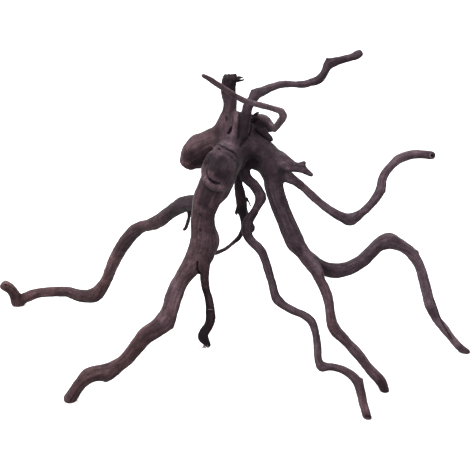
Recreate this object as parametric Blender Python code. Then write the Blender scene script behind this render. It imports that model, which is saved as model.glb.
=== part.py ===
"""Spiderwood root: one dark, dried azalea root stock that stands on its own root tips.

The wood grew as one piece, so the model is one closed skin. Each limb is a round bar of changing
thickness bent along its route, the bars are fused into one skin, and the tips it stands on are
trimmed flat by the ground. Routes are in millimetres; the finished part is in metres, +Z up, with
its origin on the ground below the middle of its outline.
"""

import math

import bpy
import numpy as np

MM = 0.001

# The routes are measured square on in one view of the standing root: it looks along +Y and down
# by VIEW_TILT, from VIEW_DISTANCE in front of AIM. A point is (right, down, back, radius): right
# and down from the top left corner of a view window VIEW_SIDE wide, back along the ground from
# AIM, and the radius as it looks in that window.
VIEW_TILT = math.radians(20.0)
VIEW_DISTANCE = 1600.0
VIEW_SIDE = 470.0
AIM = (7.4, -23.2, 143.0)

# Skin
ROUTE_STEP = 2.5
BAR_SIDES = 16
DOME_ANGLES = (30, 55, 75, 88)
DOME_HEIGHT = 0.6
SEAM_HINT = (0.31, 0.84, 0.44)
CENTRIPETAL = 0.5
VOXEL = 1.5
SKIN_ALLOWANCE = 0.1
SMOOTHING_ROUNDS = 3
SKIN_TRIANGLES = 10800
GROUND_WIDTH = 700.0
GROUND_DEPTH = 40.0

WOOD_COLOUR = (0.062, 0.038, 0.045, 1.0)
WOOD_ROUGHNESS = 0.78

# Big limbs and the crown that they grow from
LIMBS = {
    "crown": [
        (226, 134, 4, 12), (233, 143, 1, 16), (241, 148, 3, 17.5), (250, 149, 6, 18),
        (259, 153.5, 6, 16.6), (269, 162, 3, 15), (273.5, 174, 0, 11),
    ],
    "top_stub": [
        (230.6, 76.2, 5, 6.9), (229.6, 82, 5, 7.4), (229, 90, 5, 7.1), (230, 102, 4, 6.7),
        (229.3, 112, 3, 7.9), (228, 122, 2, 11.3), (229, 133, 0, 13), (232, 146, -2, 17),
        (238, 158, 0, 17),
    ],
    "lobe": [
        (228, 136, 2, 13), (214, 142, 4, 14.6), (207, 146, 5, 16), (201, 150.3, 6, 16.6),
        (194, 156, 6, 13.4), (188.3, 162.4, 6, 9),
    ],
    "front_leg": [
        (232, 150, -8, 15), (224, 163, -22, 16.5), (218, 176, -30, 17), (212, 190, -33, 16),
        (206, 202, -34, 14), (203.3, 212, -34, 12.2), (203, 221, -34, 11.8),
        (204, 231, -34, 12.8), (204.5, 241, -36, 14.4), (201, 251.8, -38, 13.7),
        (192.6, 263, -42, 11.6), (183.8, 276, -47, 9.8), (177.6, 288, -52, 8.9),
        (173, 300, -57, 8.6), (169.6, 311, -61, 8.8), (165, 321, -65, 9.4),
        (156.8, 328.6, -68, 9), (147.6, 334.7, -70, 8.7), (140.4, 342.1, -72, 8),
        (133.5, 350.6, -74, 7.5), (125.6, 359.7, -77, 7.3), (117, 366.7, -79, 7.4), (107, 371.5, -80, 7.8),
        (98, 373, -81, 7.6), (89, 376, -82, 7.2), (81.4, 383.4, -82.5, 6.7), (75.6, 390.8, -82.5, 6.5),
        (69.8, 398.4, -82.5, 6.7),
    ],
    "left_limb": [
        (208, 203, -18, 8), (198, 202.5, -4, 8.1), (189, 203.3, 8, 7.9), (180, 206.2, 20, 7.7),
        (171, 212, 32, 7.3), (164, 217, 42, 6.3), (157, 222, 51, 5.8), (150, 224.6, 60, 5.6),
        (141, 227, 70, 5.7), (134, 232, 79, 6), (126.7, 241, 88, 6),
        (120.2, 250.4, 96, 5.8), (114.7, 260.4, 103, 5.7), (110.2, 270.2, 109, 5.5),
        (106.2, 280.2, 114, 5.6), (101.6, 288.5, 119, 6.4), (95.2, 294, 124, 6.6), (87, 296.6, 130, 6.1),
        (78, 295.2, 136, 5.6), (69, 292.3, 142, 5), (60, 291.3, 148, 4.5), (50, 291.6, 153, 4.4),
        (40, 292.7, 157, 4.5), (31, 295.3, 159, 4.8), (23, 299, 162, 5), (18, 302.2, 162.5, 5.6),
        (14.8, 295.2, 160, 5.2), (10.4, 288.6, 156, 5), (4.9, 284.9, 152, 4.8),
    ],
    "right_leg": [
        (254, 151, 8, 15), (262.5, 156, 4, 15.6), (269.6, 163, 1, 14.8), (273.3, 174, 0, 11.4),
        (273.8, 183, -3, 9.8), (275.2, 192, -6, 9), (278, 202, -9, 8.8), (282.6, 212, -12, 8.9),
        (286.8, 222, -15, 9), (291, 233, -18, 9.1), (295.6, 243, -21, 9.1), (302.2, 252, -24, 8.4),
        (309.8, 260.6, -27, 7), (315.6, 269.7, -30, 6.1), (320.6, 279.7, -33, 5.6),
        (325.2, 290, -36, 5.2), (328.3, 300, -39, 4.9), (330, 311, -42, 4.6), (331.2, 321.4, -44, 5.1),
        (334.8, 330, -46, 5.4), (342.4, 338, -48, 5.1), (351, 347, -50, 5), (359, 356, -52, 5),
        (367, 365.4, -54.5, 5), (374.6, 374.6, -56.5, 5), (380.8, 382.2, -58, 5), (385.2, 389.8, -58.5, 4.5),
    ],
    "right_limb": [
        (270, 163, 2, 9), (280, 170, 2, 8), (288, 177, 2, 6), (296, 181.7, 3, 5),
        (303, 187.2, 5, 4.3), (309, 192.7, 7, 4.1), (316, 199.2, 9, 4), (323, 205, 11, 4.1),
        (330, 210, 13, 4.4), (337, 214.3, 14, 4.8), (344, 218, 15, 5.2), (350, 219.6, 16, 5.9),
        (356, 217.2, 18, 5.2), (362.2, 213, 20, 4.5), (368.2, 207, 22, 4.3), (374, 200.6, 25, 4.2),
        (378.6, 193.6, 28, 4.2), (381, 187, 31, 3.9), (382.5, 180, 34, 3.8), (385, 173, 37, 4),
        (390, 166, 41, 4.1), (396, 159.5, 45, 4.4), (404, 156, 48, 4.3), (412, 154.8, 50, 4.3),
        (421, 154.4, 51, 3.9), (430, 155, 52, 3.7), (432.5, 155.3, 52, 3.7),
    ],
    "hump_limb": [
        (293, 238, -19, 7), (300, 248, -12, 7), (309, 257.4, -4, 6.6), (318, 264.9, 3, 6.7),
        (328, 269.9, 9, 6.9), (337, 270.5, 13, 7.1), (346, 269, 17, 7.1), (355, 265, 20, 7),
        (363, 259.8, 23, 7.1), (370, 253, 26, 7.3), (378.4, 246, 29, 7.4), (388.5, 241.2, 32, 7.8),
        (397, 243.6, 34, 7), (404.6, 247.8, 36, 6.7), (411.4, 253.8, 37, 6.5), (417, 261.5, 38, 5.8),
        (420.6, 269, 38.5, 5.4), (423.5, 279, 39, 5.1), (426.2, 291, 39, 5.1), (429, 302, 38.5, 5.3),
        (432.6, 311.8, 38, 4.9), (437.6, 320, 37, 4), (442.7, 327.2, 36, 3.6),
        (449, 334.8, 35, 3.6), (455.6, 342.8, 34.5, 3.8), (461, 348.6, 33.5, 3.8), (466.8, 351.9, 33, 3.4),
    ],
    "middle_leg": [
        (244, 158, 2, 10), (244, 169, -2, 6.5), (247, 178, -4, 5.8), (252.7, 185, -8, 4.9),
        (258.4, 191.4, -12, 4.7), (261, 198, -16, 4.8), (258, 205.4, -20, 4.5), (253.2, 213, -24, 4.6),
        (249, 220, -27, 4.9), (247.2, 228, -30, 4.9), (247.6, 236, -33, 4.9), (252, 242, -36, 4.6),
        (258, 247, -39, 4.5), (262.6, 253, -42, 4.3), (265.8, 262, -46, 4.1), (268.8, 272, -51, 4),
        (272, 283, -56, 4), (274.2, 292, -61, 4.2), (276.6, 298.6, -65, 4.4),
        (282.6, 304.9, -69, 3.9), (290.7, 309.6, -73, 3.7), (299.8, 313.2, -77, 3.7), (306.5, 316.8, -81, 3.8),
        (311.8, 322.2, -84, 3.9), (314.8, 331, -88, 3.6), (316.6, 340, -92, 3.5),
        (317.8, 351, -96, 3.6), (319.2, 361, -100, 3.8), (321.4, 366.2, -102, 3.9),
        (330, 366.8, -104, 3.2), (338, 367.9, -106, 3.3), (347, 372.8, -108, 3.9),
        (355, 379, -111, 4.4), (359, 384.4, -113, 4.4), (360.6, 393, -114.5, 4.2),
        (363.2, 402, -116, 4.2), (366, 411, -117.5, 4.4), (368, 417.2, -118.6, 3.9),
    ],
    "upper_limb": [
        (237, 158, -8, 8), (238, 147, -10, 7.4), (240, 136, -11, 7.8), (243, 125, -10, 7),
        (246, 115, -9, 5.4), (248.2, 107, -7, 4.8), (252.3, 98.6, -4, 4.7), (255.2, 94.3, 1, 5),
        (260.6, 92.6, 8, 4.8), (269.5, 88.2, 18, 4.1), (280, 84.6, 28, 3.5), (290, 84, 36, 3.1),
        (300, 84.3, 43, 3.3), (310, 82.5, 50, 3.5), (318.5, 79.5, 56, 3.5), (323.3, 75, 59, 3.4),
        (326, 69.4, 61, 3.2), (328.5, 63.5, 63, 3.9), (334, 62, 66, 3.9), (340, 60.4, 69, 3.3),
        (350, 57.6, 74, 3), (356, 55, 77, 3.7), (359.4, 53.8, 78.6, 4),
    ],
    "twig": [
        (262, 124, 16, 7), (269, 127, 14, 5), (275, 128.6, 8, 3.2), (279.5, 123, 0, 3.3),
        (283, 117, -8, 3.3), (282, 112.5, -14, 3.2), (276, 110, -19, 3), (270, 108, -24, 2.8),
        (257, 104.3, -34, 2.7), (251, 102.6, -38, 2.6), (245, 100.3, -42, 2.6),
        (237, 96.8, -47, 2.9), (230, 92.5, -51, 2.8), (219.5, 85.5, -56, 2.6),
        (210, 79.4, -60, 2.5), (203.6, 75.8, -62, 2.3),
    ],
    "short_leg": [
        (202, 248, -34, 7), (204, 258, -34, 6.5), (204.5, 268, -37, 5), (205, 280, -40, 4.3),
        (206.5, 290, -43, 4), (208.6, 299, -46, 4.1), (210.2, 309, -48, 4.6), (210.6, 317.6, -50, 4.8),
        (208.8, 325, -51, 4.7), (204.8, 332, -52, 5.1), (203.2, 337.4, -53, 5.3),
        (207.6, 344.6, -54, 3),
    ],
    "rear_root": [
        (243, 162, 3, 8), (240.6, 173, 2, 4.4), (238.6, 184, 2, 3.8), (240, 192, 3, 4.7),
        (241.5, 200, 4, 4.9), (242.5, 208, 5, 5.1), (244, 216, 6, 4.4), (244.5, 224, 6, 3.4),
        (242, 231, 5, 2.4), (239.5, 237.5, 2, 2.1), (234, 242.5, -6, 1.8), (226.5, 248, -16, 1.7),
        (219, 252, -24, 1.7), (211, 254.5, -31, 2),
    ],
}

# Short growths: knuckles, broken stubs, the ring round the old branch scar and small rootlets
GROWTHS = {
    "crown_bulge": [(236, 122, -4, 7), (237.5, 116.5, -6, 5), (238.5, 113.2, -8, 3.4)],
    "scar_face": [(227, 160, -30, 9), (223.5, 168, -35, 11.5), (221, 175, -38, 9.5)],
    "leg_web": [(228, 170, -22, 9), (225.4, 180, -26, 9.6), (222, 190, -29, 9.4), (216, 198, -31, 8)],
    "scar_ring": [
        (218, 152, -26, 4), (212, 154.5, -27, 3.6), (207.5, 161, -31, 3.2), (205, 169, -33, 3),
        (205.4, 176, -40, 3), (208, 182.6, -46, 3), (213.6, 187, -49, 3), (221, 188, -47, 3),
        (229, 185, -37, 3.4),
    ],
    "old_stub": [
        (246, 134, 8, 11), (252, 128, 12, 10), (257, 124, 15, 9.9), (263, 123, 17, 8.6),
        (268.4, 126.6, 17, 6), (273, 128, 13, 4),
    ],
    "bark_flap": [
        (250, 126, -1, 5), (257, 131, 1, 4), (263.6, 135, 0, 3.1), (268.6, 138.2, -2, 2.7),
        (272, 140.6, -3, 1.8),
    ],
    "shoulder": [(270, 156, 4, 9.5), (279, 159, 2, 8.2), (287, 163.5, 0, 6.3), (296, 166, -3, 3.4)],
    "horned_stub": [
        (268, 160, 0, 10), (276, 161, -3, 9.6), (285, 162.7, -5, 7.5), (292, 166, -6, 6), (298, 167.8, -7, 4.4),
        (303, 169.6, -8, 3.8), (308.4, 173, -9, 2.5), (312, 175, -10, 1.8),
    ],
    "horn": [(300.5, 167, -7.5, 3.2), (303.4, 164.2, -8, 2.4), (304, 162.2, -8, 1.6)],
    "front_knee": [(165.5, 321, -65, 8), (169.5, 324.5, -66, 5), (172.4, 327.2, -66.5, 2)],
    "front_heel": [(104, 372, -81, 6.4), (105.6, 377.6, -81.5, 4.8), (106.2, 380.6, -82, 2.8)],
    "front_toe_bend": [(89, 377, -83, 6.4), (85.6, 373, -82.5, 3.6), (84.4, 371.4, -82, 2)],
    "fork_flap": [
        (206, 246, -38, 10), (210, 254, -42, 6), (210.4, 259, -43, 3.2), (209.4, 262.2, -43, 1.7),
    ],
    "hump_peak": [(388, 240, 32, 6), (389, 235.2, 32, 3)],
    "hump_shoulder": [(411, 254, 37, 5.6), (416.4, 252.2, 37, 2.6)],
    "right_nub": [(380, 189.6, 30, 3.6), (384.6, 191.2, 30, 1.9)],
    "upper_nub": [(328.5, 64, 63, 3.2), (327.4, 60.4, 62.6, 2.2), (327, 58.2, 62.3, 1.3)],
    "upper_elbow": [(254.4, 94.6, 1.5, 4.6), (252.6, 91.4, 0.5, 2.2)],
    "middle_knot": [(247.6, 228, -29, 4.4), (253, 228, -28, 4.2)],
    "middle_elbow": [(321, 365.4, -101.6, 3.4), (320.3, 368.4, -101.4, 1.9)],
    "middle_heel": [(359, 383.6, -113, 4), (361.4, 379.4, -112.6, 1.9)],
    "rootlet": [
        (192, 203, 4, 4), (190.4, 209, 5.4, 2.4), (189.2, 215, 6, 1.9), (187.9, 222, 7, 1.8),
        (185.4, 228, 8, 1.8), (183.2, 230, 8.5, 1.6),
    ],
    "rear_nub": [(242, 198, 4, 4), (247.8, 199.6, 4, 1.6)],
    "bark_barb": [(240.4, 207, 5, 4.4), (236.8, 211, 4.4, 1.8), (235.6, 213.6, 4.2, 1)],
}

# Hollows sunk into the crown, each with its depth: the rotted heart of the old stub, the pit
# between the legs and the groove inside the ring
HOLLOWS = {
    "stub_heart": (9, [(253, 118, 3, 4), (258, 122, 6, 6.5), (263, 126.5, 9, 5)]),
    "leg_pit": (10, [(247, 161, -11, 6), (252, 160, -9, 7.5), (258, 159.5, -8, 6)]),
    "ring_groove": (3, [(209.5, 176, -44, 2.6), (212, 181, -47, 2.8), (217, 183.5, -49, 2.6)]),
}


def standing(route):
    """The route's points as (x, y, z, radius) of the standing root, in millimetres.

    A point lies on the line of sight through its place in the view window, at its own distance
    back. What is further from the eye than AIM looks smaller, so its offsets and radius grow.
    """
    right, down, back, radius = np.array(route, float).T
    across = right - VIEW_SIDE / 2
    up = VIEW_SIDE / 2 - down
    sine = math.sin(VIEW_TILT)
    cosine = math.cos(VIEW_TILT)
    beyond = (back - up * sine) / (cosine + up * sine / VIEW_DISTANCE)
    growth = 1 + beyond / VIEW_DISTANCE
    height = AIM[2] + up * growth * cosine - beyond * sine
    thickness = radius * growth + SKIN_ALLOWANCE
    return np.column_stack([AIM[0] + across * growth, AIM[1] + back, height, thickness])


def smooth_route(points, step):
    """Points about a step apart on a centripetal Catmull-Rom curve through the route's points."""
    ends = [2 * points[0] - points[1], *points, 2 * points[-1] - points[-2]]
    found = []
    for p0, p1, p2, p3 in zip(ends, ends[1:], ends[2:], ends[3:]):
        spans = [np.linalg.norm((b - a)[:3]) ** CENTRIPETAL for a, b in ((p0, p1), (p1, p2), (p2, p3))]
        k1, k2, k3 = np.cumsum(spans)
        count = max(2, round(np.linalg.norm((p2 - p1)[:3]) / step))
        t = np.linspace(k1, k2, count, endpoint=False)[:, None]
        a1 = (k1 - t) / k1 * p0 + t / k1 * p1
        a2 = (k2 - t) / (k2 - k1) * p1 + (t - k1) / (k2 - k1) * p2
        a3 = (k3 - t) / (k3 - k2) * p2 + (t - k2) / (k3 - k2) * p3
        b1 = (k2 - t) / k2 * a1 + t / k2 * a2
        b2 = (k3 - t) / (k3 - k1) * a2 + (t - k1) / (k3 - k1) * a3
        found.append((k2 - t) / (k2 - k1) * b1 + (t - k1) / (k2 - k1) * b2)
    return np.vstack([*found, points[-1:]])


def rounded_end(points):
    """Rings that close a bar's far end as a dome whose height is DOME_HEIGHT of its radius."""
    tip = points[-1]
    along = tip[:3] - points[-2][:3]
    along /= np.linalg.norm(along)
    angles = np.radians(DOME_ANGLES)
    centres = tip[:3] + np.outer(DOME_HEIGHT * tip[3] * np.sin(angles), along)
    return np.column_stack([centres, tip[3] * np.cos(angles)])


def bar(route):
    """Vertices and faces of a round bar carried along the route, closed at both ends.

    Each ring lies square to the route, and its first corner is the ring before's, turned as
    little as the bend allows, so the bar never twists.
    """
    points = smooth_route(standing(route), ROUTE_STEP)
    points = np.vstack([points, rounded_end(points)])
    centres = points[:, :3]
    along = np.gradient(centres, axis=0)
    along /= np.linalg.norm(along, axis=1)[:, None]
    side = np.cross(along[0], SEAM_HINT)
    angles = np.linspace(0, 2 * np.pi, BAR_SIDES, endpoint=False)[:, None]
    rings = []
    for centre, direction, radius in zip(centres, along, points[:, 3]):
        side = side - direction * (side @ direction)
        side /= np.linalg.norm(side)
        rings.append(centre + radius * (np.cos(angles) * side + np.sin(angles) * np.cross(direction, side)))
    vertices = np.vstack([*rings, centres[:1], centres[-1:]])
    faces = []
    for ring in range(len(rings) - 1):
        for corner in range(BAR_SIDES):
            here = ring * BAR_SIDES + corner
            beside = ring * BAR_SIDES + (corner + 1) % BAR_SIDES
            faces.append((here, beside, beside + BAR_SIDES, here + BAR_SIDES))
    start = len(vertices) - 2
    last = start - BAR_SIDES
    for corner in range(BAR_SIDES):
        beside = (corner + 1) % BAR_SIDES
        faces.append((start, beside, corner))
        faces.append((start + 1, last + corner, last + beside))
    return vertices, faces


def joined(name, routes):
    """One mesh object holding a bar along every route."""
    vertices, faces = [], []
    for route in routes.values():
        corners, polygons = bar(route)
        first = len(vertices)
        vertices += [tuple(corner * MM) for corner in corners]
        faces += [tuple(first + index for index in polygon) for polygon in polygons]
    mesh = bpy.data.meshes.new(name)
    mesh.from_pydata(vertices, [], faces)
    whole = bpy.data.objects.new(name, mesh)
    bpy.context.scene.collection.objects.link(whole)
    return whole


def one_skin(root):
    """Replace the root's overlapping bars with one even skin round all of them."""
    remesh = root.modifiers.new("one_skin", "REMESH")
    remesh.mode = "VOXEL"
    remesh.voxel_size = VOXEL * MM
    graph = bpy.context.evaluated_depsgraph_get()
    skin = bpy.data.meshes.new_from_object(root.evaluated_get(graph))
    root.modifiers.clear()
    root.data = skin


def sink(root, depth, route):
    """Press the skin near the route inwards, by the full depth on the route and by nothing at
    its radius."""
    vertices = root.data.vertices
    places = np.empty(len(vertices) * 3)
    vertices.foreach_get("co", places)
    places = places.reshape(-1, 3) / MM
    inwards = np.empty(len(vertices) * 3)
    root.data.vertex_normals.foreach_get("vector", inwards)
    inwards = -inwards.reshape(-1, 3)
    nearest = np.full(len(places), 1.0)
    for x, y, z, radius in smooth_route(standing(route), 1.0):
        share = np.linalg.norm(places - (x, y, z), axis=1) / radius
        nearest = np.minimum(nearest, share)
    places += inwards * (depth * (1 - nearest ** 2) ** 2)[:, None]
    vertices.foreach_set("co", places.ravel() * MM)
    root.data.update()


def ground_block():
    """A cutter whose top face is the ground."""
    bpy.ops.mesh.primitive_cube_add(size=1, location=(0, 0, -GROUND_DEPTH / 2 * MM))
    block = bpy.context.object
    block.name = "ground_cutter"
    block.scale = (GROUND_WIDTH * MM, GROUND_WIDTH * MM, GROUND_DEPTH * MM)
    block.hide_render = True
    block.display_type = "WIRE"
    return block


def dark_wood():
    """Bare root wood, dried dark: a matt brown with a violet cast."""
    material = bpy.data.materials.new("dark_wood")
    material.use_nodes = True
    shader = material.node_tree.nodes["Principled BSDF"]
    shader.inputs["Base Color"].default_value = WOOD_COLOUR
    shader.inputs["Roughness"].default_value = WOOD_ROUGHNESS
    shader.inputs["Metallic"].default_value = 0.0
    return material


def finish(root):
    """Modifiers that soften the forks, even out the faces and trim the feet at the ground."""
    smooth = root.modifiers.new("soften_forks", "SMOOTH")
    smooth.factor = 0.5
    smooth.iterations = SMOOTHING_ROUNDS
    decimate = root.modifiers.new("fewer_faces", "DECIMATE")
    decimate.ratio = SKIN_TRIANGLES / (2 * len(root.data.polygons))
    trim = root.modifiers.new("trim_feet", "BOOLEAN")
    trim.operation = "DIFFERENCE"
    trim.solver = "EXACT"
    trim.object = ground_block()


def main():
    for old in list(bpy.data.objects):
        bpy.data.objects.remove(old)
    root = joined("spiderwood_root", {**LIMBS, **GROWTHS})
    one_skin(root)
    for depth, route in HOLLOWS.values():
        sink(root, depth, route)
    root.data.materials.append(dark_wood())
    root.data.shade_smooth()
    finish(root)


main()
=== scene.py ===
"""A spiderwood root, dressed: the skin of an old azalea root stock that was washed and dried dark.

The wood is one fine skin round every limb, with flutes along the grain, pits, a cracked crown and
a rotted stub, and the torn fibres that stand out of its broken ends. Lengths are in millimetres
until a mesh is made. The routes of the limbs follow those of the solid that the skin stands for,
with the sharper bends and small growths that only a fine skin can show.
"""

import math

import bpy
import numpy as np
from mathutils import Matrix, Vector


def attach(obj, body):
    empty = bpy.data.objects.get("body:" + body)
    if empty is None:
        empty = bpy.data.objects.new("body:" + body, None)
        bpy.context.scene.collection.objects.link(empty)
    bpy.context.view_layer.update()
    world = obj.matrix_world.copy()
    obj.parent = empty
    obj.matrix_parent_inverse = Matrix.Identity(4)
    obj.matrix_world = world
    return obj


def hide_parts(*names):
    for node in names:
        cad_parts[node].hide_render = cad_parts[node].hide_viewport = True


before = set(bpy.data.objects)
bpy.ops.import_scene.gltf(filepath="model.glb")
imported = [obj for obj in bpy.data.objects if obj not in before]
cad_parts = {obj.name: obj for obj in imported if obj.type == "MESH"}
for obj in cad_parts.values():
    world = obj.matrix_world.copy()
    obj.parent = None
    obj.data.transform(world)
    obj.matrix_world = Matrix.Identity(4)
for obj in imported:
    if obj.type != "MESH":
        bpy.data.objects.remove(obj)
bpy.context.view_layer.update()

NODE = "spiderwood_root"
MM = 0.001
SEED = 11

# The view that the routes are measured in: it looks along +Y and down by VIEW_TILT, from
# VIEW_DISTANCE in front of AIM, and its window is VIEW_SIDE wide at AIM
VIEW_TILT = math.radians(20.0)
VIEW_DISTANCE = 1600.0
VIEW_SIDE = 470.0
AIM = np.array((7.4, -23.2, 143.0))
SENSOR = 36.0

# Tubes: how far apart their rings are, their corners, the latitudes of the rings that close the
# far end as a dome, its height in radii, a direction that no limb follows, and what is added to
# each radius for what easing takes away
ROUTE_STEP = 2.0
FIBRE_STEP = 0.8
MARK_STEP = 0.7
HOLLOW_STEP = 1.0
CENTRIPETAL = 0.5
BAR_SIDES = 24
DOME_ANGLES = (30, 55, 75, 88)
DOME_HEIGHT = 0.6
SEAM_HINT = (0.31, 0.84, 0.44)
SKIN_ALLOWANCE = 0.3
# Skin: the cell that the tubes are fused at, the triangles it keeps, how far a second limb pulls on
# the grain, and the rounds of easing over all of it, at the forks and in the hollows
VOXEL = 0.9
SKIN_TRIANGLES = 190000
FORK_REACH = 5.0
EVEN_ROUNDS = 4
FORK_ROUNDS = 24
HOLLOW_ROUNDS = 2
HOLLOW_EASE = 0.6
# How far the grain of each limb is moved, across and along, to have noise of its own
GRAIN_SHIFT = (40, 300)

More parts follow.
